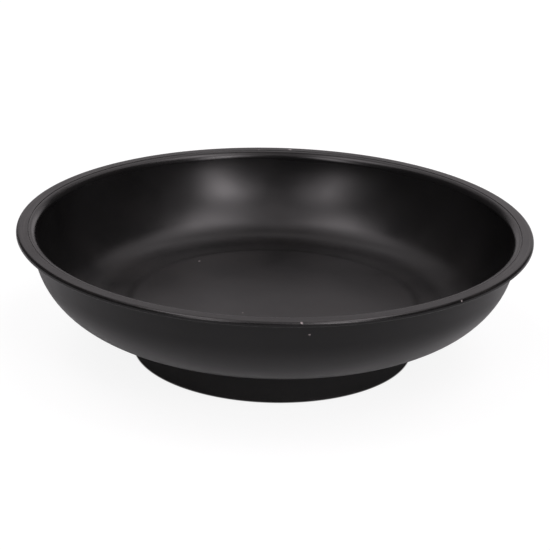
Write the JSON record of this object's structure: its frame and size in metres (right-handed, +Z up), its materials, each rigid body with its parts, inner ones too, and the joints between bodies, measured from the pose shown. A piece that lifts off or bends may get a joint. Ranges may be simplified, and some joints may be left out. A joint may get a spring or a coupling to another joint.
{
  "type": "magnetic pin bowl",
  "caption": "Round shallow black dish with a flat flanged rim on a low magnet base, for catching and holding pins and needles.",
  "frame": {"origin": "centre of the round face of the foot pad that the bowl stands on", "axes": "+Z up along the axis of the dish and the base, towards the open mouth"},
  "size_m": [0.15, 0.15, 0.0382],
  "materials": {
    "dish_plastic": "satin black moulded plastic, fine turned lines on the flange",
    "base_plastic": "matte black moulded plastic with a fine texture",
    "ferrite": "ground dark grey sintered ferrite",
    "plate_steel": "zinc plated steel",
    "screw_steel": "zinc plated steel",
    "cushion_foam": "closed-cell foam",
    "pad_rubber": "matte black rubber with a fine grain",
    "tape": "translucent double-sided tape"
  },
  "bodies": {
    "root": {"bowl": "dish_plastic", "base_housing": "base_plastic", "ring_magnet": "ferrite", "backing_plate": "plate_steel", "magnet_cushion": "cushion_foam", "base_screws": "screw_steel", "foot_pad": "pad_rubber", "foot_pad_tape": "tape"}
  },
  "joints": []
}
